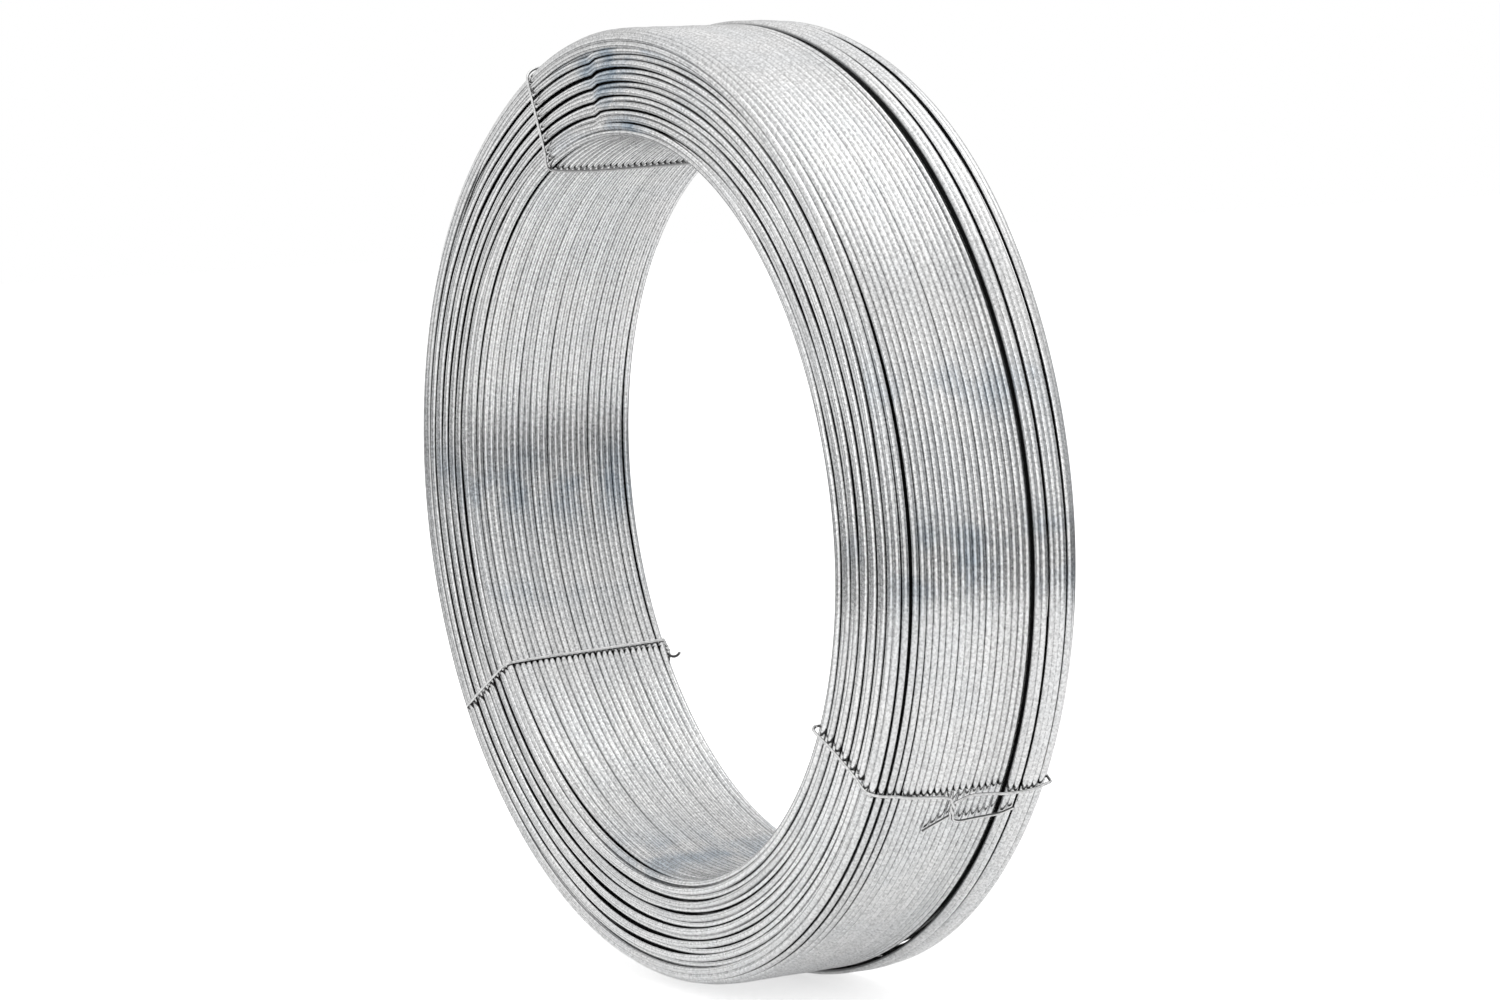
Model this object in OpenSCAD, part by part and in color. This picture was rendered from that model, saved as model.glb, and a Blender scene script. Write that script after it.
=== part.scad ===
// Coil of binding wire: one continuous galvanised wire wound round and round,
// held together by three thin tie wires. The coil stands on its outer turns,
// with the axis of its bore along Y and the end that the ties' crossings show on at -Y.

/* [Wire] */
// diameter of the wound wire
wire_d = 2; // [1.8:0.05:2.4]
// space between one turn and the next
turn_gap = 0.03; // [0.02:0.01:0.2]

/* [Coil] */
// bore across the inner turns
bore_d = 206; // [180:1:230]
// turns side by side along the bore
bore_turns = 28; // [20:1:34]
// turns on top of each other from the bore to the outside
rows = 16; // [13:1:19]
// turns of the group at the far end, wound last
far_turns = 7; // [4:1:9]
// how far the far group stands proud of the rest
far_proud = 0.8; // [0:0.1:1.5]
// gap between the far group and the rest
group_gap = 1; // [0.4:0.1:2]
// length, along the coil, of the rounded near outer edge
near_long = 8; // [6:0.5:14]
// how far the near outer edge falls away over that length
near_drop = 8; // [3:0.25:9]
// length, along the coil, of the rounded far outer edge
far_long = 5; // [3.5:0.25:8]
// how far the far outer edge falls away over that length
far_drop = 5; // [3:0.25:8]
// how far the outside falls away towards the near end
near_fall = 1; // [0:0.1:2.5]
// how far every second row stands back at the two ends
row_inset = 0.7; // [0:0.1:1]

/* [Ties] */
// diameter of the tie wire
tie_d = 0.85; // [0.7:0.05:1.2]
// space between a tie and the turns under it
tie_clearance = 0.25; // [0.2:0.05:0.5]
// where the top tie crosses the near end, in degrees round the bore
top_tie_angle = 114; // [95:1:125]
// where the side tie crosses the near end, in degrees round the bore
side_tie_angle = 211; // [200:1:225]
// where the front tie crosses the near end, in degrees round the bore
front_tie_angle = 329; // [315:1:345]
// how far behind the coil's middle the front tie is knotted
front_knot_y = -1; // [-6:0.5:6]
// distance from the bore to the side tie's knot, on the far end
side_knot_in = 0.5; // [0:0.5:8]
// full turns that a tie's ends are twisted round each other
twist_turns = 1; // [1:1:4]
// length of one full turn of the twist
twist_pitch = 3.2; // [2.6:0.1:5]
// space between the two twisted ends
twist_gap = 0.1; // [0.05:0.05:0.3]
// length of the short end left past the twist
short_tail = 8; // [4:1:12]
// length of the long end left past the twist
long_tail = 17; // [8:1:24]
// length of both ends left past the side tie's twist
side_tail = 4; // [3:0.5:8]
// how far an end runs on before it turns aside
tail_reach = 3.5; // [2:0.5:8]

/* [Hidden] */
wire_r = wire_d / 2;
pitch = wire_d + turn_gap;
width = bore_turns * pitch;
bore_r = bore_d / 2;
outer_r = bore_r + wire_d + (rows - 1) * pitch;
tie_r = tie_d / 2;
half = width / 2 - wire_r;
in_r = bore_r + wire_r;
out_r = outer_r - wire_r;
near_bow = [near_drop - wire_r, near_long - wire_r];
far_bow = [far_drop - wire_r, far_long - wire_r];
far_edge = half - (far_turns - 1) * pitch;
top_z = outer_r + far_proud;
full_turn = 360;
quarter = full_turn / 4;
wire_fn = 8;
turn_fn = 180;
zinc = [0.78, 0.79, 0.81];
tie_zinc = [0.7, 0.71, 0.73];

// the winding's section, as [distance from the axis, place along it]

// points evenly spaced on a straight run, both ends counted
function run(p, q, n) = [for (i = [0 : n]) p + (q - p) * i / n];
function turns_on(p, q) = run(p, q, max(1, round(norm(q - p) / pitch)));
// a point on a quarter bow round c, or standing off it by extra, and such points from angle a to angle b
function on_bow(c, bow, t, extra) =
    c + [bow[0] * cos(t), bow[1] * sin(t)] + extra * unit([bow[1] * cos(t), bow[0] * sin(t)]);
function bow_points(c, bow, a, b, n, extra = 0) =
    [for (i = [0 : n]) on_bow(c, bow, a + (b - a) * i / n, extra)];
function bow_length(bow) = PI / 2 * sqrt((bow[0] * bow[0] + bow[1] * bow[1]) / 2);
function turns_round(c, bow, a, b) = bow_points(c, bow, a, b, max(1, round(bow_length(bow) / pitch)));
function unit(v) = v / norm(v);
function stepped(v) = [for (i = [0 : len(v) - 1]) v[i] + [0, (i % 2) * row_inset * (v[i][1] < 0 ? 1 : -1)]];
function without_first(v) = [for (i = [1 : len(v) - 1]) v[i]];
function without_ends(v) = len(v) < 3 ? [] : [for (i = [1 : len(v) - 2]) v[i]];

main_out_r = out_r - near_fall;
near_corner = [main_out_r - near_bow[0], -half + near_bow[1]];
far_corner = [out_r + far_proud - far_bow[0], half - far_bow[1]];
near_face = stepped(turns_on([in_r, -half], [near_corner[0], -half]));
near_bend = turns_round(near_corner, near_bow, -quarter, 0);
main_out = turns_on([main_out_r, near_corner[1]], [out_r, far_edge - pitch - group_gap]);
far_group = turns_on([out_r + far_proud, far_edge], [out_r + far_proud, far_corner[1]]);
far_bend = turns_round(far_corner, far_bow, 0, quarter);
far_face = stepped(turns_on([far_corner[0], half], [in_r, half]));
bore_line = run([in_r, half], [in_r, -half], bore_turns - 1);

// the centre of every turn that shows, once round the section from the near edge of the bore
section_turns = concat(
    near_face,
    without_first(near_bend),
    without_first(main_out),
    far_group,
    without_first(far_bend),
    without_first(far_face),
    without_ends(bore_line)
);

module winding_section() {
    union() {
        polygon(section_turns);
        for (t = section_turns) {
            translate(t)
                circle(r = wire_r, $fn = wire_fn);
        }
    }
}

module coil() {
    color(zinc)
        translate([0, 0, top_z])
            rotate([90, 0, 0])
                mirror([0, 0, 1])
                    rotate_extrude($fn = turn_fn)
                        winding_section();
}

// a tie: one thin wire that goes once round the winding, its ends twisted together

lift = wire_r + tie_r + tie_clearance;
helix_r = tie_r + twist_gap / 2;
knot_lift = lift + helix_r;
bend_r = 2 * tie_d;
bend_steps = 5;
twist_length = twist_turns * twist_pitch;
twist_steps = 10 * twist_turns;
tail_steps = 8;
sides = 8;
corner_steps = 6;

// the loop's corners, as [centre, bow, first angle], from the far edge of the bore round the outside
loop_corners = [
    [[in_r, half], [0, 0], 2 * quarter],
    [far_corner, far_bow, quarter],
    [near_corner, near_bow, 0],
    [[in_r, -half], [0, 0], -quarter]
];
// round an edge of the bore the wire turns about one point, so the bow there is a plain arc of the lift
function corner_points(k) = let (c = loop_corners[k]) c[1][0] == 0
    ? bow_points(c[0], [lift, lift], c[2], c[2] - quarter, corner_steps)
    : bow_points(c[0], c[1], c[2], c[2] - quarter, corner_steps, lift);

// distance from the axis to the taut tie's seat, at a place along the outside
function taut(y) =
    main_out_r + (out_r + far_proud - main_out_r) * (y - near_corner[1]) / (far_corner[1] - near_corner[1]);

// from a place on the section, [along the tangent of the rim, radius, axis], to a point of the model
function at_rim(angle, p) = [
    p[1] * cos(angle) - p[0] * sin(angle),
    p[2],
    p[1] * sin(angle) + p[0] * cos(angle) + top_z
];

// one end of a tie, as [away from the loop, aside, height]: it bends off the loop, twists round the other
// end, and its tail turns aside; side is -1 or 1
function twisted_end(side, tail) = concat(
    [for (i = [0 : bend_steps]) let (t = i / bend_steps * quarter)
        [bend_r * (1 - cos(t)), side * (helix_r + bend_r - bend_r * sin(t)), 0]],
    [for (i = [1 : twist_steps]) let (t = full_turn * twist_turns * i / twist_steps)
        [bend_r + twist_length * i / twist_steps, side * helix_r * cos(t), side * helix_r * sin(t)]],
    [for (i = [1 : tail_steps]) let (t = quarter * i / tail_steps)
        [bend_r + twist_length + tail_reach * sin(t), side * (helix_r + tail * (1 - cos(t))), 0]]
);

function backwards(p) = [for (i = [len(p) - 1 : -1 : 0]) p[i]];
function tangents(p) = [for (i = [0 : len(p) - 1]) unit(p[min(i + 1, len(p) - 1)] - p[max(i - 1, 0)])];
function across(n, t) = unit(n - (n * t) * t);
function frames(t, n0) =
    [for (i = 0, n = across(n0, t[0]); i < len(t); i = i + 1, n = i < len(t) ? across(n, t[i]) : n) n];

module swept_wire(path, r, n0) {
    t = tangents(path);
    n = frames(t, n0);
    last = len(path) - 1;
    points = [for (i = [0 : last]) for (j = [0 : sides - 1])
        path[i] + r * (cos(full_turn * j / sides) * n[i] + sin(full_turn * j / sides) * cross(t[i], n[i]))];
    skin = [for (i = [0 : last - 1]) for (j = [0 : sides - 1])
        let (a = i * sides + j, b = i * sides + (j + 1) % sides)
        each [[a, b + sides, b], [a, a + sides, b + sides]]];
    caps = [[for (j = [0 : sides - 1]) j], [for (j = [sides - 1 : -1 : 0]) last * sides + j]];
    polyhedron(points, concat(skin, caps), convexity = 10);
}

// a whole tie from its two ends and the corners between them
module tie(angle, end_a, loop, end_b) {
    path = concat(backwards(end_b), [for (c = loop) [0, c[0], c[1]]], end_a);
    aside = at_rim(angle, [1, 0, 0]) - at_rim(angle, [0, 0, 0]);
    color(tie_zinc)
        swept_wire([for (p = path) at_rim(angle, p)], tie_r, aside);
}

// knotted on the outside of the coil, at a place along its axis; way is 1 for a twist up the rim, -1 for down
module outer_tie(angle, knot_y, way, far_tail, near_tail) {
    start = [0, taut(knot_y) + knot_lift, knot_y];
    end_a = [for (p = twisted_end(1, far_tail)) start + [way * p[0], p[2], p[1]]];
    end_b = [for (p = twisted_end(-1, near_tail)) start + [way * p[0], p[2], p[1]]];
    tie(angle, end_a, concat(corner_points(2), corner_points(3), corner_points(0), corner_points(1)), end_b);
}

// knotted on the far end of the coil, beside the bore
module far_tie(angle, knot_in, tail) {
    start = [0, in_r + knot_in + helix_r + bend_r, half + knot_lift];
    end_a = [for (p = twisted_end(-1, tail)) start + p];
    end_b = [for (p = twisted_end(1, tail)) start + p];
    tie(angle, end_a, concat(corner_points(1), corner_points(2), corner_points(3), corner_points(0)), end_b);
}

module top_tie() {
    outer_tie(top_tie_angle, 0, 1, short_tail, short_tail);
}

module side_tie() {
    far_tie(side_tie_angle, side_knot_in, side_tail);
}

module front_tie() {
    outer_tie(front_tie_angle, front_knot_y, -1, long_tail, short_tail);
}

coil();
top_tie();
side_tie();
front_tie();
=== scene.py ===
import math
import random
import bpy
import numpy as np
from mathutils import Matrix, Vector


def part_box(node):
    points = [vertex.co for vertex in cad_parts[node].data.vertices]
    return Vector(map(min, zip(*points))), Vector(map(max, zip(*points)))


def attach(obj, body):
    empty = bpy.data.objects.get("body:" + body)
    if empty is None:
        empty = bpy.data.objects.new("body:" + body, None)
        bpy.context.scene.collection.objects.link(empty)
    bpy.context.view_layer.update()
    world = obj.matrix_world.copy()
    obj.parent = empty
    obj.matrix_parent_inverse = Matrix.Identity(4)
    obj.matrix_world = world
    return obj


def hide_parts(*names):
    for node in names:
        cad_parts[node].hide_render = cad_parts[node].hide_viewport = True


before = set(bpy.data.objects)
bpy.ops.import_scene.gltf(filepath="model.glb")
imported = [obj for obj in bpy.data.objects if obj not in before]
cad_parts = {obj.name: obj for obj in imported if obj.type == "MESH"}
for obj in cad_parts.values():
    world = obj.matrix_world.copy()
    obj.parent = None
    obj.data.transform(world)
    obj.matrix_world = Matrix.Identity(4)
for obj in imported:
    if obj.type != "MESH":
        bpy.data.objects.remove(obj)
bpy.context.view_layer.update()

# the wound turns are drawn a little smaller than life, so that the proud group at the far end and the
# coil's slight oval stay inside the built coil, and the camera stands nearer by as much
shrink = 0.9878
millimetre = 0.001 * shrink
coilSink = 0.0004  # the oval coil's middle lies this far under the built coil's
coilLow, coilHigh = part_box("coil")
coilCentre = Vector((0, 0, (coilLow[2] + coilHigh[2]) / 2 - coilSink))
fullTurn = math.radians(360)

# helpers


def deselectAll():
    for other in list(bpy.context.selected_objects):
        other.select_set(False)


def makeActive(piece):
    deselectAll()
    piece.select_set(True)
    bpy.context.view_layer.objects.active = piece


def joinPieces(pieces, name):
    deselectAll()
    for piece in pieces:
        piece.select_set(True)
    bpy.context.view_layer.objects.active = pieces[0]
    if len(pieces) > 1:
        bpy.ops.object.join()
    joined = bpy.context.view_layer.objects.active
    joined.name = name
    joined.data.name = name
    deselectAll()
    return joined


def closeMesh(distance=0.00001):
    # in edit mode: joins the points that meet, turns every face outwards and shades them all smooth
    bpy.ops.mesh.select_all(action="SELECT")
    bpy.ops.mesh.remove_doubles(threshold=distance)
    bpy.ops.mesh.select_all(action="SELECT")
    bpy.ops.mesh.normals_make_consistent(inside=False)
    bpy.ops.mesh.faces_shade_smooth()


def spinRound(steps):
    # in edit mode: turns an outline once round the coil's axis
    bpy.ops.mesh.select_all(action="SELECT")
    bpy.ops.mesh.spin(steps=steps, angle=fullTurn, center=(0, 0, 0), axis=(0, 1, 0))
    closeMesh()


def readSpots(piece):
    spots = np.empty(len(piece.data.vertices) * 3)
    piece.data.vertices.foreach_get("co", spots)
    return spots.reshape(-1, 3)


def grey(level):
    return (level, level, level, 1)


def dress(piece, node, material):
    piece.data.materials.clear()
    piece.data.materials.append(material)
    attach(piece, "root")
    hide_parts(node)


# camera

cameraSet = {
    "azimuth": 59.4,
    "elevation": 5.1,
    "roll": -2.4,
    "distance": 1.253,
    "lens": 105.0,
    "aimAlong": 0.0108,
    "aimRight": -0.0011,
    "aimUp": -0.0007,
    "sensor": 36,
    "clipEnd": 50,
}


def placeCamera(values):
    azimuth, elevation, roll = (math.radians(values[key]) for key in ("azimuth", "elevation", "roll"))
    flat = math.cos(elevation)
    back = Vector((math.sin(azimuth) * flat, -math.cos(azimuth) * flat, math.sin(elevation)))
    levelRight = Vector((math.cos(azimuth), math.sin(azimuth), 0))
    levelUp = back.cross(levelRight)
    right = levelRight * math.cos(roll) + levelUp * math.sin(roll)
    up = levelUp * math.cos(roll) - levelRight * math.sin(roll)
    offset = Vector((0, values["aimAlong"], 0)) + right * values["aimRight"] + up * values["aimUp"]
    aim = coilCentre + offset * shrink
    bpy.ops.object.camera_add()
    camera = bpy.context.object
    camera.name = "photoCamera"
    turned = Matrix((right, up, back)).transposed().to_4x4()
    camera.matrix_world = Matrix.Translation(aim + back * values["distance"] * shrink) @ turned
    camera.data.lens = values["lens"]
    camera.data.sensor_width = values["sensor"]
    camera.data.clip_end = values["clipEnd"]
    bpy.context.scene.camera = camera


placeCamera(cameraSet)
print("camera placed")

# zinc

zincSet = {
    "blueTintAndReflection": (0.40, 0.48, 0.56, 1),
    "tieShadow": grey(0.09),
    "roughness": (0.13, 0.29),
    "patchScale": 60,
    "patchDetail": 4,
    "patchRange": (0.42, 0.62),
    "speckleScale": 1300,
    "speckleDetail": 3,
    "speckleRange": (0.35, 0.6),
    "speckleShade": (0.72, 1.06),
    "turnShade": (0.9, 1.04),
    "grooveShadeRange": (0.32, 0.0),
    "tieShadowRange": (0.95, 0.1),
    "tieShadowReach": (0.35, 2.4),
    "tieShadowStart": 0.3,
    "bumpDepth": 0.00008,
}
# the groove colours are painted shade between the turns, darkest on the end rows, and on the ties painted
# shade on the side that faces the winding
finishSets = {
    "coilZinc": {
        "bright": grey(0.86),
        "grooveshade": (0.24, 0.242, 0.245, 1),
        "patchiness": 0.08,
        "tieshadows": 1.0,
        "bump": 0.3,
        "metallic": 1.0,
    },
    "endZinc": {
        "bright": grey(0.9),
        "grooveshade": grey(0.025),
        "patchiness": 0.08,
        "tieshadows": 1.0,
        "bump": 0.3,
        "metallic": 1.0,
    },
    "deepShadeZinc": {
        "bright": grey(0.05),
        "grooveshade": grey(0.03),
        "patchiness": 0.0,
        "tieshadows": 0.0,
        "bump": 0.3,
        "metallic": 0.0,
    },
    "tieZinc": {
        "bright": grey(0.93),
        "grooveshade": grey(0.12),
        "patchiness": 0.0,
        "tieshadows": 0.0,
        "bump": 0.2,
        "metallic": 0.6,
    },
}


def addNode(tree, kind, place, **settings):
    node = tree.nodes.new(kind)
    node.location = place
    for key, value in settings.items():
        setattr(node, key, value)
    return node


def addNoise(tree, place, scale, detail):
    node = addNode(tree, "ShaderNodeTexNoise", place)
    node.inputs["Scale"].default_value = scale
    node.inputs["Detail"].default_value = detail
    return node


def addRange(tree, place, taken=(0, 1), given=(0, 1)):
    node = addNode(tree, "ShaderNodeMapRange", place)
    node.inputs["From Min"].default_value, node.inputs["From Max"].default_value = taken
    node.inputs["To Min"].default_value, node.inputs["To Max"].default_value = given
    return node


def addMath(tree, place, operation, first, second):
    # sums on two links or on a link and a number
    node = addNode(tree, "ShaderNodeMath", place, operation=operation)
    for socket, value in zip(node.inputs, (first, second)):
        if isinstance(value, (int, float)):
            socket.default_value = value
        else:
            tree.links.new(value, socket)
    return node.outputs["Value"]


def addMix(tree, place, amount, first, second):
    node = addNode(tree, "ShaderNodeMix", place, data_type="RGBA")
    tree.links.new(amount, node.inputs["Factor"])
    tree.links.new(first, node.inputs["A"])
    if isinstance(second, tuple):
        node.inputs["B"].default_value = second
    else:
        tree.links.new(second, node.inputs["B"])
    return node.outputs["Result"]


def makeZincSkin(values):
    # blue patches, partly painted reflection of a dark horizon, and fine speckle; painted shade in the
    # grooves; and painted shadow and reflection beside the ties
    skin = bpy.data.node_groups.new("zincSkin", "ShaderNodeTree")
    face = skin.interface
    for label, way, kind in (
        ("Bright", "INPUT", "NodeSocketColor"),
        ("Grooveshade", "INPUT", "NodeSocketColor"),
        ("Patchiness", "INPUT", "NodeSocketFloat"),
        ("Tieshadows", "INPUT", "NodeSocketFloat"),
        ("Color", "OUTPUT", "NodeSocketColor"),
        ("Roughness", "OUTPUT", "NodeSocketFloat"),
        ("Height", "OUTPUT", "NodeSocketFloat"),
    ):
        face.new_socket(label, in_out=way, socket_type=kind)
    inside = addNode(skin, "NodeGroupInput", (-1200, 0)).outputs
    outside = addNode(skin, "NodeGroupOutput", (900, 0)).inputs
    place = addNode(skin, "ShaderNodeTexCoord", (-1200, -300)).outputs["Object"]
    link = skin.links.new

    patch = addNoise(skin, (-900, -100), values["patchScale"], values["patchDetail"])
    link(place, patch.inputs["Vector"])
    patchMask = addRange(skin, (-700, -100), values["patchRange"])
    link(patch.outputs["Fac"], patchMask.inputs["Value"])
    # painted reflection: bands round the coil where the zinc mirrors a dark horizon tint it blue-grey; the
    # weak blue patches elsewhere are the zinc's own random tint
    band = addNode(skin, "ShaderNodeAttribute", (-900, 150), attribute_name="paintedReflectionBand")
    tintAndReflectionStrength = addMath(skin, (-700, 150), "MAXIMUM", band.outputs["Fac"], inside["Patchiness"])
    tintAndReflectionAmount = addMath(skin, (-500, -100), "MULTIPLY", patchMask.outputs["Result"], tintAndReflectionStrength)
    tintedAndReflected = addMix(skin, (-250, 100), tintAndReflectionAmount, inside["Bright"], values["blueTintAndReflection"])

    speckle = addNoise(skin, (-900, -400), values["speckleScale"], values["speckleDetail"])
    link(place, speckle.inputs["Vector"])
    speckleShade = addRange(skin, (-700, -400), values["speckleRange"], values["speckleShade"])
    link(speckle.outputs["Fac"], speckleShade.inputs["Value"])
    tone = addNode(skin, "ShaderNodeAttribute", (-900, -650), attribute_name="tone")
    turnRange = addRange(skin, (-700, -650), given=values["turnShade"])
    link(tone.outputs["Fac"], turnRange.inputs["Value"])
    turnShade = turnRange.outputs["Result"]
    shade = addMath(skin, (-450, -500), "MULTIPLY", speckleShade.outputs["Result"], turnShade)
    shaded = addNode(skin, "ShaderNodeVectorMath", (0, 0), operation="SCALE")
    link(tintedAndReflected, shaded.inputs[0])
    link(shade, shaded.inputs["Scale"])

    # painted shade: where a turn's crest value falls off into the grooves, its colour goes towards the
    # groove colour
    crest = addNode(skin, "ShaderNodeAttribute", (-900, -900), attribute_name="crest").outputs["Fac"]
    grooveShadeMask = addRange(skin, (-450, -850), values["grooveShadeRange"])
    link(crest, grooveShadeMask.inputs["Value"])
    grooveShadeAmount = grooveShadeMask.outputs["Result"]
    grooveShaded = addMix(skin, (300, 0), grooveShadeAmount, shaded.outputs["Vector"], inside["Grooveshade"])

    # beside a tie the turns are painted dark as its shadow and its mirrored dark side, further along the
    # grooves than on the crests
    beside = addNode(skin, "ShaderNodeAttribute", (-900, -1150), attribute_name="besideTie").outputs["Fac"]
    reach = addRange(skin, (-700, -1350), values["tieShadowRange"], values["tieShadowReach"])
    link(crest, reach.inputs["Value"])
    inReach = addMath(skin, (-450, -1250), "LESS_THAN", beside, reach.outputs["Result"])
    ahead = addMath(skin, (-450, -1100), "GREATER_THAN", beside, values["tieShadowStart"])
    tieShadow = addMath(skin, (-250, -1150), "MULTIPLY", inReach, ahead)
    tieShadowAmount = addMath(skin, (-100, -1150), "MULTIPLY", tieShadow, inside["Tieshadows"])
    link(addMix(skin, (550, 0), tieShadowAmount, grooveShaded, values["tieShadow"]), outside["Color"])

    rough = addRange(skin, (300, -400), given=values["roughness"])
    link(speckle.outputs["Fac"], rough.inputs["Value"])
    link(rough.outputs["Result"], outside["Roughness"])
    link(speckle.outputs["Fac"], outside["Height"])
    return skin


def makeWireMaterial(name, skin, values):
    material = bpy.data.materials.new(name)
    material.use_nodes = True
    tree = material.node_tree
    shader = tree.nodes["Principled BSDF"]
    shader.inputs["Metallic"].default_value = values["metallic"]
    skinNode = addNode(tree, "ShaderNodeGroup", (-500, 0))
    skinNode.node_tree = skin
    for key in ("bright", "grooveshade", "patchiness", "tieshadows"):
        skinNode.inputs[key.capitalize()].default_value = values[key]
    relief = addNode(tree, "ShaderNodeBump", (-200, -300))
    relief.inputs["Strength"].default_value = values["bump"]
    relief.inputs["Distance"].default_value = zincSet["bumpDepth"]
    tree.links.new(skinNode.outputs["Color"], shader.inputs["Base Color"])
    tree.links.new(skinNode.outputs["Roughness"], shader.inputs["Roughness"])
    tree.links.new(skinNode.outputs["Height"], relief.inputs["Height"])
    tree.links.new(relief.outputs["Normal"], shader.inputs["Normal"])
    return material


zincSkin = makeZincSkin(zincSet)
finishes = {name: makeWireMaterial(name, zincSkin, values) for name, values in finishSets.items()}
print("materials made")

# turns of wire

turnSet = {
    "wireRadius": 1.0 * millimetre,
    "boreRadius": 103.0 * millimetre,
    "halfWidth": 27.4 * millimetre,
    "depth": 32.5 * millimetre,
    "boreTurns": 27,
    "borePitch": 2.0 * millimetre,
    "boreSplit": 0.45 * millimetre,
    "nearSplitPlace": (145, 42),
    "sides": 10,
    "edgeSpread": 45,
    "boreWander": 0.00012,
    "patternRadius": 0.1,
    "steps": 216,
    "seed": 7,
}


def makeTurnPattern(values):
    # one plain turn of wire, spun from a round section
    deselectAll()
    place = (values["patternRadius"], 0, 0)
    bpy.ops.mesh.primitive_circle_add(vertices=values["sides"], radius=values["wireRadius"], location=place)
    pattern = bpy.context.object
    bpy.ops.object.transform_apply(location=True, rotation=True, scale=True)
    bpy.ops.object.mode_set(mode="EDIT")
    spinRound(values["steps"])
    bpy.ops.object.mode_set(mode="OBJECT")
    pattern.name = "turnPattern"
    return pattern


def readPattern(pattern):
    spots = readSpots(pattern)
    around = np.arctan2(spots[:, 2], spots[:, 0])
    return around, np.hypot(spots[:, 0], spots[:, 2]) - turnSet["patternRadius"], spots[:, 1]


turnPattern = makeTurnPattern(turnSet)
aroundCoil, acrossRadius, acrossAlong = readPattern(turnPattern)
draw = random.Random(turnSet["seed"])


def slowWave(size, orders=(2, 3, 4, 5), least=0.4):
    # a slow seeded wander round the coil
    wander = np.zeros_like(aroundCoil)
    for order in orders:
        height = size / order * math.sqrt(2) * draw.uniform(least, 1)
        wander += height * np.cos(order * aroundCoil + draw.uniform(0, fullTurn))
    return wander


def ripple(size, orders=(5, 6, 7, 8, 9, 11)):
    # a livelier seeded wander, which opens and shuts the gaps between turns along short stretches
    wander = np.zeros_like(aroundCoil)
    height = size / math.sqrt(len(orders)) * math.sqrt(2)
    for order in orders:
        wander += height * np.cos(order * aroundCoil + draw.uniform(0, fullTurn))
    return wander


def bump(around, place, spread):
    # 1 at a place in degrees round the coil, and less the further away
    away = (np.degrees(around) - place + 180) % 360 - 180
    return np.exp(-(away / spread) ** 2)


# how far the real coil is from round, in millimetres
ovalSet = {
    "bore": (-1.76, -3.15),
    "outside": (0.3, -1.77),
    "dent": 1.8,
    "dentPlace": (124, 20),
}


def ovalAt(around, radius):
    # the bore is more oval than the outside, which has a dent at the upper left
    wide, tall = np.cos(2 * around), np.sin(2 * around)
    inner = ovalSet["bore"][0] * wide + ovalSet["bore"][1] * tall
    outer = ovalSet["outside"][0] * wide + ovalSet["outside"][1] * tall
    outer = outer - ovalSet["dent"] * bump(around, *ovalSet["dentPlace"])
    share = np.clip((radius - turnSet["boreRadius"]) / turnSet["depth"], 0, 1)
    return (inner * (1 - share) + outer * share) * millimetre


leanSet = {
    "turned": math.radians(45),
    "outer": 2.6 * millimetre,
    "least": -3.5 * millimetre,
    "inner": 2.7 * millimetre,
    "most": 2.0 * millimetre,
    "outerFade": 5.0 * millimetre,
    "innerFade": 3.0 * millimetre,
}


def leanAt(around, radius, along):
    # the turns don't lie square to the axis: they lean along it by a few millimetres across the coil
    outer = leanSet["outer"] * (np.cos(around + leanSet["turned"]) - math.cos(leanSet["turned"]))
    outer = np.maximum(outer, leanSet["least"])
    inner = np.minimum(leanSet["inner"] * (1 + np.cos(around)), leanSet["most"])
    share = min(1, max(0, (radius - turnSet["boreRadius"]) / turnSet["depth"]))
    reach = leanSet["outerFade"] if share > 0.5 else leanSet["innerFade"]
    free = min(1, max(0, (turnSet["halfWidth"] - abs(along)) / reach))
    return (inner * (1 - share) + outer * share) * free


# where the ties cross the turns, in degrees round the coil with the side that mirrors them, for the painted
# tie shadows, and bands of painted blue-grey reflection of a dark horizon, as degrees, spread and strength
paintedLightSet = {
    "outer": {
        "ties": ((113.5, 1), (210.9, 1), (329.0, 1)),
        "blueTintAndReflection": ((16, 4, 0.45), (-3, 5, 0.6)),
    },
    "end": {
        "ties": ((114.0, 1), (211.2, 1), (329.8, 1)),
        "blueTintAndReflection": ((179, 5, 0.5), (-1, 4, 0.4), (93, 13, 1.25)),
    },
    "bore": {
        "ties": ((116.2, -1), (210.8, 1), (329.5, 1)),
        "blueTintAndReflection": ((180, 6, 0.6), (199, 3, 0.3), (263, 9, 0.6)),
    },
    "reach": 20.0,
}


def besideTies(places, radius):
    # millimetres from the nearest tie to each vertex, round the coil, on the side where the tie is mirrored
    degrees = np.degrees(aroundCoil)
    nearest = np.full(len(aroundCoil), paintedLightSet["reach"])
    for place, way in places:
        ahead = way * ((degrees - place + 180) % 360 - 180) * math.radians(1) * radius / millimetre
        nearest = np.where(np.abs(ahead) < np.abs(nearest), ahead, nearest)
    return nearest


# painted reflection of a dark horizon, as bands round the coil
def paintedReflectionBands(bands):
    amount = np.zeros(len(aroundCoil))
    for place, spread, strength in bands:
        amount = np.maximum(amount, strength * bump(aroundCoil, place, spread))
    return amount


def addLayer(piece, name, values):
    layer = piece.data.attributes.new(name, "FLOAT", "POINT")
    layer.data.foreach_set("value", values)


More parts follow.
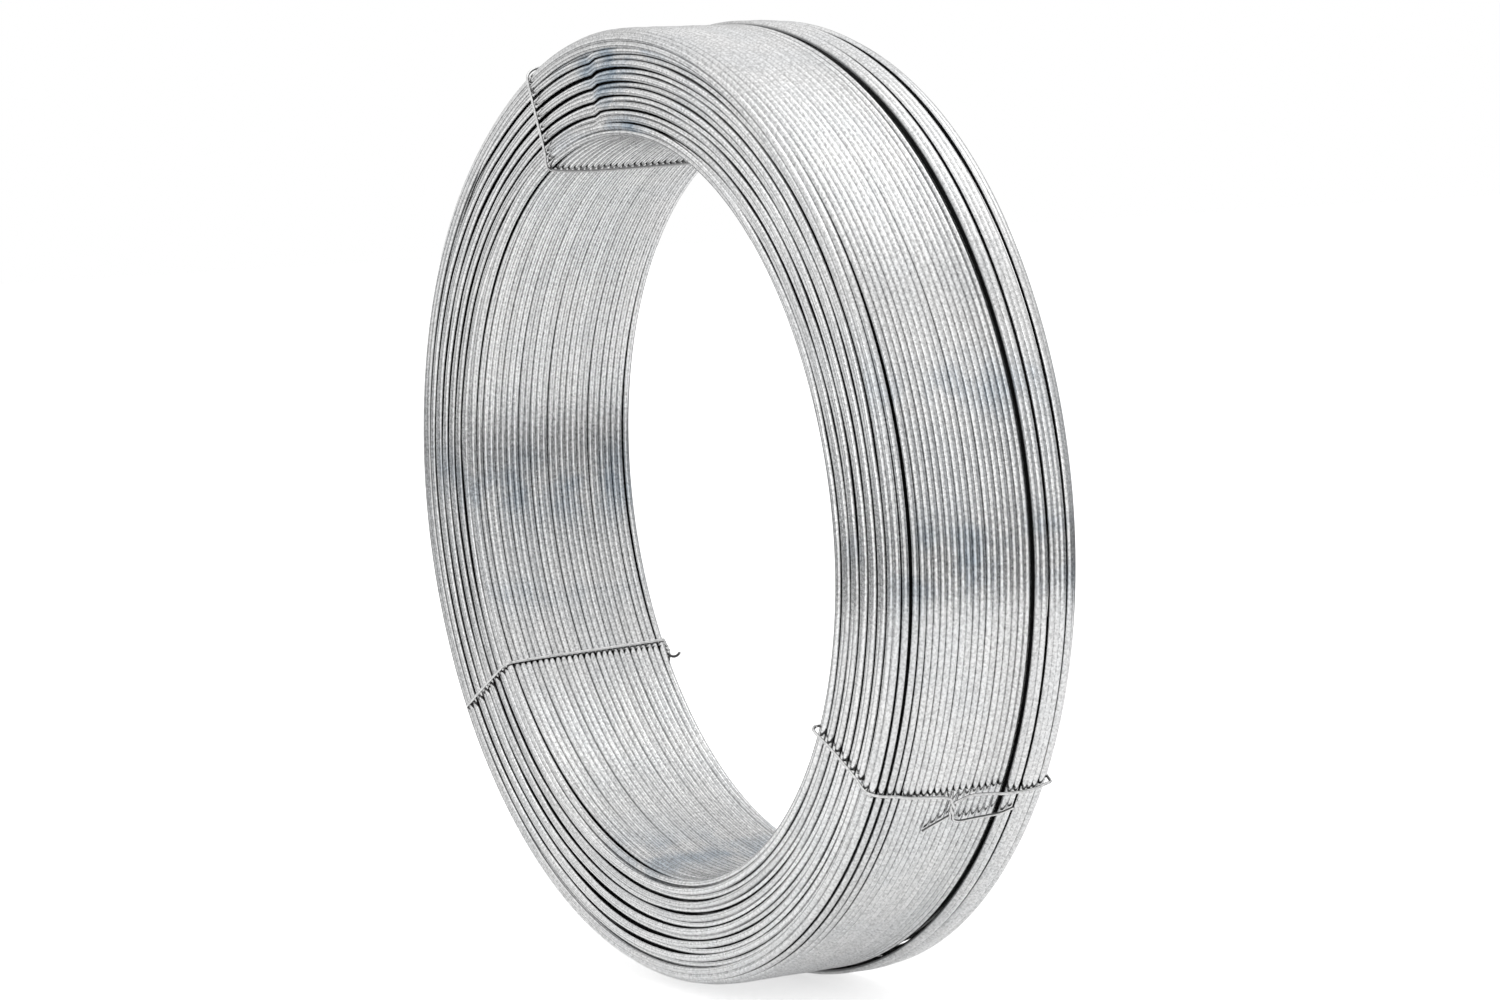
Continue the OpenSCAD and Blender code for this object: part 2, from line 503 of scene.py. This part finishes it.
def layTurn(layer, radius, along, facing, radiusShift, alongShift, spread=0):
    # one more turn: its own mesh, laid at its own radius and place, bright on the sides that it shows and
    # with painted shade on the sides turned into the grooves
    turn = turnPattern.copy()
    turn.data = turnPattern.data.copy()
    bpy.context.collection.objects.link(turn)
    ring = radius + radiusShift + ovalAt(aroundCoil, radius)
    reach = ring + acrossRadius
    across, upward = reach * np.cos(aroundCoil), reach * np.sin(aroundCoil) + coilCentre.z
    spots = np.column_stack((across, along + alongShift + acrossAlong, upward))
    turn.data.vertices.foreach_set("co", spots.ravel())
    crest = np.full(len(aroundCoil), -1.0)
    for angle in (facing - spread, facing, facing + spread):
        side = acrossRadius * math.cos(math.radians(angle)) + acrossAlong * math.sin(math.radians(angle))
        crest = np.maximum(crest, side / turnSet["wireRadius"])
    addLayer(turn, "crest", crest)
    addLayer(turn, "tone", np.full(len(aroundCoil), draw.random()))
    addLayer(turn, "besideTie", besideTies(paintedLightSet[layer]["ties"], radius))
    addLayer(turn, "paintedReflectionBand", paintedReflectionBands(paintedLightSet[layer]["blueTintAndReflection"]))
    turn.data.update()
    return turn


def boreLayer(values):
    # the turns side by side in the bore, the last one off by a gap and the first one here and there
    turns = []
    last = values["boreTurns"] - 1
    radius = values["boreRadius"] + values["wireRadius"]
    along = -values["halfWidth"] + values["wireRadius"] + values["boreSplit"]
    for index in range(values["boreTurns"]):
        shift = slowWave(values["boreWander"]) + leanAt(aroundCoil, radius, along)
        if index == 0:
            shift = shift - values["boreSplit"] * bump(aroundCoil, *values["nearSplitPlace"])
        spread = values["edgeSpread"] if index in (0, last) else 0
        facing = 180 - spread if index == last else 180 + spread
        turns.append(layTurn("bore", radius, along, facing, slowWave(values["boreWander"]), shift, spread))
        along += values["borePitch"]
        if index == last - 1:
            along += values["boreSplit"]
    return turns


endSet = {
    "firstRow": -2,
    "lastRow": 13,
    "rowPitch": 2.06 * millimetre,
    "inset": 0.78 * millimetre,
    "wander": 0.00016,
    "ripple": 0.0001,
    "depthRipple": 0.0001,
    "pairing": 0.25 * millimetre,
    "levelling": 0.15,
    "crowdDepth": 0.15,
    "levelPlace": (205, 50),
    "drift": (
        (-90, 0.0), (-45, 0.6), (0, 0.3), (45, 0.0), (75, -1.4), (96.6, -1.9), (97.6, -2.9),
        (126, -1.2), (150, 1.2), (174, 2.4), (210, 2.0), (245, 0.6), (270, 0.0),
    ),
    "innerLimit": 106.0 * millimetre,
    "outerLimit": 130.4 * millimetre,
}


def endRows(values, ends, side):
    # each second row stands back and close to one neighbour, and all rows drift in and out round the coil
    turns = []
    angles, drifts = zip(*ends["drift"])
    degrees = (np.degrees(aroundCoil) + 90) % 360 - 90
    drift = np.interp(degrees, angles, drifts) * millimetre
    level = 1 - ends["levelling"] * bump(aroundCoil, *ends["levelPlace"])
    for index in range(ends["firstRow"], ends["lastRow"] + 1):
        radius = ends["innerLimit"] + index * ends["rowPitch"]
        behind = index % 2
        wander = drift - behind * ends["pairing"] + slowWave(ends["wander"]) + ripple(ends["ripple"])
        wander = np.clip(radius + wander, ends["innerLimit"], ends["outerLimit"]) - radius
        depth = behind * ends["inset"] * level + np.abs(ripple(ends["depthRipple"]))
        depth = depth + ends["crowdDepth"] * np.abs(wander - drift)
        along = side * (values["halfWidth"] - values["wireRadius"])
        turns.append(layTurn("end", radius, along, 90 * side, wander, -side * depth))
    return turns


# places are millimetres along the coil and down from its outside
outerSet = {
    "radius": 134.3 * millimetre,
    "nearCorner": ((-26.5, 3.9), (-26.0, 2.0), (-24.2, 0.9), (-21.65, 0.25), (-19.6, 0.07)),
    "flatStart": -17.55,
    "flatTurns": 16,
    "flatPitch": 2.03,
    "farPlaces": (
        (14.82, 0), (16.7, 0), (19.25, 0), (20.85, -0.1), (22.5, 0), (25.05, 0.3), (26.7, 1.5), (27.0, 3.6),
    ),
    "farProud": 2.1,
    "swell": 0.85,
    "swellPlace": (46, 22),
    "settle": 1.2,
    "settlePlace": (97, 28),
    "cornerSpread": 8,
    "cornerBow": 1.2,
    "wander": 0.00007,
    "slips": {
        -21.65: (-0.55, -38, 34),
        -19.6: (-0.3, -38, 34),
        14.82: (-0.4, 58, 40),
        16.7: (-0.4, 58, 40),
    },
}


def farSwell(around):
    # the far group stands less proud at the top and more on the way down from it
    swell = outerSet["swell"] * bump(around, *outerSet["swellPlace"])
    settle = outerSet["settle"] * bump(around, *outerSet["settlePlace"])
    return (swell - settle) * millimetre


def outerLayer(outer):
    # the rounded corner, the flat run, and the proud groups behind the gap
    turns = []
    places = [(along, -drop, -drop, False) for along, drop in outer["nearCorner"]]
    for index in range(outer["flatTurns"]):
        places.append((outer["flatStart"] + index * outer["flatPitch"], 0, 0, False))
    places += [(along, outer["farProud"] - drop, drop, True) for along, drop in outer["farPlaces"]]
    for along, lift, turned, proud in places:
        place = along * millimetre
        radius = outer["radius"] + lift * millimetre
        facing = math.copysign(math.degrees(math.atan2(abs(turned), outer["cornerBow"])), turned)
        shift = slowWave(outer["wander"]) + leanAt(aroundCoil, radius, place)
        slip, slipPlace, slipSpread = outer["slips"].get(along, (0, 0, 1))
        shift = shift + slip * millimetre * bump(aroundCoil, slipPlace, slipSpread)
        swell = slowWave(outer["wander"]) + proud * farSwell(aroundCoil)
        spread = outer["cornerSpread"] if turned else 0
        turns.append(layTurn("outer", radius, place, facing, swell, shift, spread))
    return turns


boreTurnsPiece = joinPieces(boreLayer(turnSet), "bore_turns")
nearTurns = joinPieces(endRows(turnSet, endSet, -1), "near_end_turns")
farTurns = joinPieces(endRows(turnSet, endSet, 1), "far_end_turns")
outerTurns = joinPieces(outerLayer(outerSet), "outer_turns")
for piece in (boreTurnsPiece, outerTurns):
    dress(piece, "coil", finishes["coilZinc"])
for piece in (nearTurns, farTurns):
    dress(piece, "coil", finishes["endZinc"])
print("turns laid")

# winding under the turns that show

coreSet = {
    "inset": 2.0 * millimetre,
    "endInset": 4.2 * millimetre,
    "corner": 6.0 * millimetre,
    "cornerSteps": 3,
    "steps": 180,
}


def makeCore(values):
    # a plain ring behind the turns, painted near-black as the shade deep inside the winding
    low = -turnSet["halfWidth"] + values["endInset"]
    high = -low
    inner = turnSet["boreRadius"] + values["inset"]
    outer = outerSet["radius"] + turnSet["wireRadius"] - values["inset"]
    deselectAll()
    bpy.ops.mesh.primitive_plane_add(size=1, location=((inner + outer) / 2, 0, 0))
    core = bpy.context.object
    core.scale = (outer - inner, high - low, 1)
    bpy.ops.object.transform_apply(location=True, rotation=True, scale=True)
    bpy.ops.object.mode_set(mode="EDIT")
    bpy.ops.mesh.select_all(action="SELECT")
    bpy.ops.mesh.bevel(offset=values["corner"], segments=values["cornerSteps"], affect="VERTICES")
    bpy.ops.mesh.select_all(action="SELECT")
    bpy.ops.mesh.delete(type="ONLY_FACE")
    spinRound(values["steps"])
    bpy.ops.object.mode_set(mode="OBJECT")
    spots = readSpots(core)
    around = np.arctan2(spots[:, 2], spots[:, 0])
    radius = np.hypot(spots[:, 0], spots[:, 2])
    shift = ovalAt(around, radius)
    spots[:, 0] += shift * np.cos(around)
    spots[:, 2] += shift * np.sin(around) + coilCentre.z
    core.data.vertices.foreach_set("co", spots.ravel())
    core.data.update()
    core.name = "inner_winding"
    return core


core = makeCore(coreSet)
dress(core, "coil", finishes["deepShadeZinc"])
turnPattern.select_set(False)
bpy.data.objects.remove(turnPattern, do_unlink=True)

# ties

# distances from the axis and along it are in millimetres
tieSet = {
    "wireRadius": 0.425 * millimetre,
    "wireSides": 2,
    "standOff": 0.46,
    "twistRadius": 0.45,
    "twistSteps": 10,
    "smooth": 5,
    "tailShade": 0.7,
    "tailReach": 1.5,
    "edgeShift": 0.2,
    "windingInner": 105.0,
    "windingOuter": 133.0,
    "windingHalf": 25.5,
    "farEnd": 27,
}


def onCoil(degrees, radius, along):
    # a place on the coil: degrees round the bore, then millimetres from the axis and along it
    around = math.radians(degrees)
    reach = radius * millimetre + float(ovalAt(np.array(around), radius * millimetre))
    return np.array((reach * math.cos(around), along * millimetre, reach * math.sin(around) + coilCentre.z))


def smoothRoute(spots, count):
    # a smooth line through given places, by Catmull-Rom
    padded = [2 * spots[0] - spots[1]] + list(spots) + [2 * spots[-1] - spots[-2]]
    route = []
    for first, second, third, fourth in zip(padded, padded[1:], padded[2:], padded[3:]):
        for step in range(count):
            t = step / count
            bend = (2 * first - 5 * second + 4 * third - fourth) * t ** 2
            swing = (3 * second - first - 3 * third + fourth) * t ** 3
            route.append(0.5 * (2 * second + (third - first) * t + bend + swing))
    route.append(spots[-1])
    return route


def twist(start, end, normal, way, turns):
    # one of two strands wound round the line from start to end
    line = end - start
    length = np.linalg.norm(line)
    forward = line / length
    aside = np.cross(forward, normal)
    aside /= np.linalg.norm(aside)
    up = np.cross(aside, forward)
    spots = []
    count = int(tieSet["twistSteps"] * turns)
    for step in range(count + 1):
        angle = fullTurn * turns * step / count
        offset = way * tieSet["twistRadius"] * millimetre * (aside * math.cos(angle) + up * math.sin(angle))
        spots.append(start + line * step / count + offset)
    return spots


def awayFromCoil(piece):
    # how squarely each vertex of a tie faces away from the winding under it
    spots = readSpots(piece)
    normals = np.empty(spots.size)
    piece.data.vertices.foreach_get("normal", normals)
    normals = normals.reshape(-1, 3)
    around = np.arctan2(spots[:, 2] - coilCentre.z, spots[:, 0])
    radius = np.hypot(spots[:, 0], spots[:, 2] - coilCentre.z)
    inner, outer = tieSet["windingInner"] * millimetre, tieSet["windingOuter"] * millimetre
    half = tieSet["windingHalf"] * millimetre
    outward = radius - np.clip(radius, inner, outer)
    endward = spots[:, 1] - np.clip(spots[:, 1], -half, half)
    size = np.maximum(np.hypot(outward, endward), 0.0001)
    rimward = normals[:, 0] * np.cos(around) + normals[:, 2] * np.sin(around)
    return (outward * rimward + endward * normals[:, 1]) / size


def makeTie(name, node, loop, knot, firstTail, lastTail, turns):
    # the loop's ends are wound round each other along the knot, and each strand ends in its own tail
    loopSpots = [onCoil(*place) for place in loop]
    knotStart, knotEnd = onCoil(*knot[0]), onCoil(*knot[1])
    centre = np.array(tuple(coilCentre))
    normal = knotStart - centre
    normal[1] = 0
    if abs(knot[0][2]) > tieSet["farEnd"]:
        normal = np.array((0.0, 1.0, 0.0))
    firstStrand = twist(knotStart, knotEnd, normal, 1, turns)
    lastStrand = twist(knotStart, knotEnd, normal, -1, turns)
    if np.linalg.norm(firstStrand[0] - loopSpots[0]) > np.linalg.norm(lastStrand[0] - loopSpots[0]):
        firstStrand, lastStrand = lastStrand, firstStrand
    head = smoothRoute([firstStrand[-1]] + [onCoil(*place) for place in firstTail], tieSet["smooth"])
    tail = smoothRoute([lastStrand[-1]] + [onCoil(*place) for place in lastTail], tieSet["smooth"])
    middle = smoothRoute([firstStrand[0]] + loopSpots + [lastStrand[0]], tieSet["smooth"])
    route = head[::-1] + firstStrand[::-1][1:-1] + middle + lastStrand[1:-1] + tail
    line = bpy.data.curves.new(name, "CURVE")
    line.dimensions = "3D"
    line.bevel_depth = tieSet["wireRadius"]
    line.bevel_resolution = tieSet["wireSides"]
    line.use_fill_caps = True
    spline = line.splines.new("POLY")
    spline.points.add(len(route) - 1)
    for point, spot in zip(spline.points, route):
        point.co = (*spot, 1)
    piece = bpy.data.objects.new(name, line)
    bpy.context.collection.objects.link(piece)
    makeActive(piece)
    bpy.ops.object.convert(target="MESH")
    piece = bpy.context.object
    piece.name = name
    bpy.ops.object.mode_set(mode="EDIT")
    closeMesh(0.000001)
    bpy.ops.object.mode_set(mode="OBJECT")
    ends = np.array(head[1:] + tail[1:])
    gaps = np.linalg.norm(readSpots(piece)[:, None] - ends[None], axis=2).min(axis=1)
    onTail = gaps < tieSet["tailReach"] * tieSet["wireRadius"]
    # painted shade on the tie: darker on the side that faces the winding and darker still along its tails
    addLayer(piece, "crest", awayFromCoil(piece) + tieSet["edgeShift"] - onTail * tieSet["tailShade"])
    dress(piece, node, finishes["tieZinc"])


# where a tie lies on the winding's sides, and its bends round the edges, as places along the coil and
# from its axis
boreSeat = 103 - tieSet["standOff"]
nearSeat = -27.4 - tieSet["standOff"]
farSeat = 27.4 + tieSet["standOff"]
outerSeat = 135.3 + tieSet["standOff"]
proudSeat = 137.4 + tieSet["standOff"]

farCorner = ((26.2, 136.4), (27.5, 134.0))
farHook = ((26.6, 137.7), (28.2, 137.0), (28.6, 134.0))
nearCorner = ((-27.6, 131.4), (-26.4, 133.5), (-23.5, 134.9), (-20.0, 135.6))
nearHook = ((-28.3, 132.2), (-27.6, 134.6), (-25.4, 136.3), (-21.5, 136.9))


def cornerPlaces(corner, degrees):
    return tuple((degrees, radius, along) for along, radius in corner)


makeTie(
    "top_tie_wire", "top_tie",
    ((113.3, outerSeat + 0.7, 9), (113.3, outerSeat + 1.2, 15), (113.3, outerSeat + 1.2, 22))
    + cornerPlaces(farCorner, 113.5)
    + ((113.8, 130.0, farSeat), (114.5, 112.0, farSeat), (115.4, 104.6, farSeat), (115.6, boreSeat, 27.0),
       (115.9, boreSeat, 18.0), (116.7, boreSeat, -8.3), (116.2, boreSeat, -22.0), (115.2, 102.7, -26.6),
       (114.5, 104.0, nearSeat), (114.0, 108.0, nearSeat), (113.9, 118.2, nearSeat),
       (113.8, 128.0, nearSeat))
    + cornerPlaces(nearHook, 113.4) + ((113.0, outerSeat, -12.0),),
    ((114.3, 136.4, 0), (117.0, 136.6, 0.5)),
    ((118.5, 136.3, 3.0), (119.5, 136.2, 8.0)),
    ((118.6, 136.3, -2.5), (120.5, 136.1, -6.0)),
    1.5,
)
makeTie(
    "side_tie_wire", "side_tie",
    ((210.3, 106.0, farSeat), (210.4, 112.0, farSeat), (210.6, 130.0, farSeat))
    + cornerPlaces(farCorner[::-1], 210.7)
    + ((210.8, proudSeat, 22.0), (210.8, proudSeat, 15.0), (210.9, outerSeat + 0.9, 8.0),
       (210.9, outerSeat, -12.0))
    + cornerPlaces(nearCorner[::-1], 210.9)
    + ((211.0, 128.0, nearSeat), (211.0, 120.0, nearSeat), (211.2, 108.0, nearSeat),
       (211.3, 104.2, nearSeat), (211.3, 102.7, -26.6), (211.1, boreSeat, -22.0), (210.8, boreSeat, -8.9),
       (210.5, boreSeat, 10.0), (210.2, boreSeat, 25.5), (210.1, 103.2, 27.6)),
    ((210.9, 104.4, 28.4), (212.4, 104.4, 28.7)),
    ((213.3, 103.6, 29.1), (213.7, 101.9, 29.6), (213.6, 100.4, 30.0)),
    ((213.4, 105.6, 28.7), (214.2, 108.5, 28.5)),
    1,
)
makeTie(
    "front_tie_wire", "front_tie",
    ((328.5, 136.2, 4.0), (328.6, outerSeat + 0.9, 9.0), (328.7, proudSeat, 15.0), (328.8, proudSeat, 22.0))
    + cornerPlaces(farHook, 329.3)
    + ((329.6, 130.0, farSeat), (329.7, 115.0, farSeat), (329.7, 106.0, farSeat), (329.7, boreSeat, 26.6),
       (329.6, boreSeat, 10.0), (329.5, boreSeat, -23.0), (329.4, 102.8, -26.8), (329.4, 105.0, nearSeat),
       (329.8, 114.0, nearSeat), (329.9, 126.0, nearSeat))
    + cornerPlaces(nearCorner, 329.6) + ((329.2, outerSeat, -15.7), (328.6, 136.1, -3.8)),
    ((327.9, 136.5, -1.3), (326.2, 136.6, -0.9)),
    ((325.3, 136.3, 0.6), (325.0, 136.4, 3.0), (325.1, 136.4, 6.4), (325.3, 136.6, 11.0),
     (326.0, 137.9, 14.5), (326.7, 138.2, 17.9)),
    ((325.6, 136.1, -2.2), (324.0, 135.9, -7.9)),
    1,
)
print("ties wound")

# studio

studioSet = {
    "floorSize": 12,
    "floorColour": grey(0.9),
    "floorRoughness": 0.9,
    "whiteLift": 0.6,
    "glossyLift": 0.22,
    "worldLevel": 0.75,
}
softboxSets = {
    "sideSoftbox": {
        "place": (0.55, -1.4, 0.5),
        "size": (0.7, 1.0),
        "power": 4,
        "aim": (0, 0, 0.13),
    },
    "topSoftbox": {
        "place": (0.3, 0.2, 1.9),
        "size": (1.4, 1.4),
        "power": 5,
        "aim": (0, 0, 0.13),
    },
}


def makeFloor(values):
    # pale paper, lifted towards white for the camera and a little for the wire's reflections
    bpy.ops.mesh.primitive_plane_add(size=values["floorSize"], location=(0, 0, 0))
    floor = bpy.context.object
    floor.name = "floor"
    material = bpy.data.materials.new("palePaper")
    material.use_nodes = True
    tree = material.node_tree
    paper = tree.nodes["Principled BSDF"]
    paper.inputs["Base Color"].default_value = values["floorColour"]
    paper.inputs["Roughness"].default_value = values["floorRoughness"]
    paper.inputs["Specular IOR Level"].default_value = 0
    glow = addNode(tree, "ShaderNodeEmission", (0, -300))
    rays = addNode(tree, "ShaderNodeLightPath", (-600, -300)).outputs
    mirrored = addMath(tree, (-400, -450), "MULTIPLY", rays["Is Glossy Ray"], values["glossyLift"])
    seen = addMath(tree, (-400, -300), "MULTIPLY", rays["Is Camera Ray"], values["whiteLift"])
    tree.links.new(addMath(tree, (-200, -300), "ADD", seen, mirrored), glow.inputs["Strength"])
    both = addNode(tree, "ShaderNodeAddShader", (300, -100))
    tree.links.new(paper.outputs["BSDF"], both.inputs[0])
    tree.links.new(glow.outputs["Emission"], both.inputs[1])
    tree.links.new(both.outputs["Shader"], tree.nodes["Material Output"].inputs["Surface"])
    floor.data.materials.append(material)


def makeAir(values):
    # white where it is seen, mirrored or looked through, and a little dimmer as a light
    world = bpy.data.worlds.new("studioAir")
    bpy.context.scene.world = world
    world.use_nodes = True
    tree = world.node_tree
    air = tree.nodes["Background"]
    air.inputs["Color"].default_value = grey(1)
    rays = addNode(tree, "ShaderNodeLightPath", (-800, 0)).outputs
    seen = addMath(tree, (-600, 0), "MAXIMUM", rays["Is Camera Ray"], rays["Is Glossy Ray"])
    clear = addMath(tree, (-400, 0), "MAXIMUM", seen, rays["Is Transmission Ray"])
    level = addRange(tree, (-200, 0), given=(values["worldLevel"], 1))
    tree.links.new(clear, level.inputs["Value"])
    tree.links.new(level.outputs["Result"], air.inputs["Strength"])


def addSoftbox(name, values):
    bpy.ops.object.light_add(type="AREA", location=values["place"])
    box = bpy.context.object
    box.name = name
    box.data.shape = "RECTANGLE"
    box.data.size, box.data.size_y = values["size"]
    box.data.energy = values["power"]
    line = Vector(values["aim"]) - Vector(values["place"])
    box.rotation_euler = line.to_track_quat("-Z", "Y").to_euler()


def makeHorizon(name, values):
    # a ring of card that only the wire reflects, with an opening for the side lamp
    start = math.radians(values["openTo"])
    across, aside = math.cos(start), math.sin(start)
    places = [Vector((spread * across, spread * aside, height)) for spread, height in values["section"]]
    deselectAll()
    bpy.ops.mesh.primitive_plane_add(size=1, location=(0, 0, 0))
    card = bpy.context.object
    for vertex, place in zip(card.data.vertices, (places[0], places[0], places[1], places[1])):
        vertex.co = place
    bpy.ops.object.mode_set(mode="EDIT")
    bpy.ops.mesh.select_all(action="SELECT")
    bpy.ops.mesh.remove_doubles(threshold=0.00001)
    bpy.ops.mesh.select_all(action="SELECT")
    turn = fullTurn - math.radians(values["opening"])
    bpy.ops.mesh.spin(steps=values["steps"], angle=turn, center=(0, 0, 0), axis=(0, 0, 1))
    bpy.ops.object.mode_set(mode="OBJECT")
    card.name = name
    material = bpy.data.materials.new(name + "Grey")
    material.use_nodes = True
    shader = material.node_tree.nodes["Principled BSDF"]
    shader.inputs["Base Color"].default_value = grey(0)
    shader.inputs["Specular IOR Level"].default_value = 0
    shader.inputs["Emission Color"].default_value = values["colour"]
    shader.inputs["Emission Strength"].default_value = 1
    card.data.materials.append(material)
    card.visible_camera = card.visible_diffuse = card.visible_shadow = card.visible_transmission = False


horizonSets = {
    "lowCard": {
        "section": ((0.5, 0.002), (0.9, 0.1)),
        "openTo": -48,
        "opening": 52,
        "steps": 48,
        "colour": (0.215, 0.22, 0.225, 1),
    },
    "highCard": {
        "section": ((0.9, 0.1), (0.95, 0.46)),
        "openTo": -59,
        "opening": 63,
        "steps": 48,
        "colour": (0.45, 0.46, 0.47, 1),
    },
    "skyCard": {
        "section": ((0.95, 0.46), (0.86, 0.86)),
        "openTo": -59,
        "opening": 63,
        "steps": 48,
        "colour": grey(0.72),
    },
    "leftLowCard": {
        "section": ((0.34, 0.004), (0.89, 0.062)),
        "openTo": -105,
        "opening": 245,
        "steps": 48,
        "colour": grey(0.57),
    },
    "leftHighCard": {
        "section": ((0.89, 0.062), (0.94, 0.46)),
        "openTo": -105,
        "opening": 245,
        "steps": 48,
        "colour": grey(0.9),
    },
}

makeFloor(studioSet)
makeAir(studioSet)
for cardName, cardValues in horizonSets.items():
    makeHorizon(cardName, cardValues)
for boxName, boxValues in softboxSets.items():
    addSoftbox(boxName, boxValues)
bpy.context.scene.view_settings.view_transform = "Standard"
print("studio set")
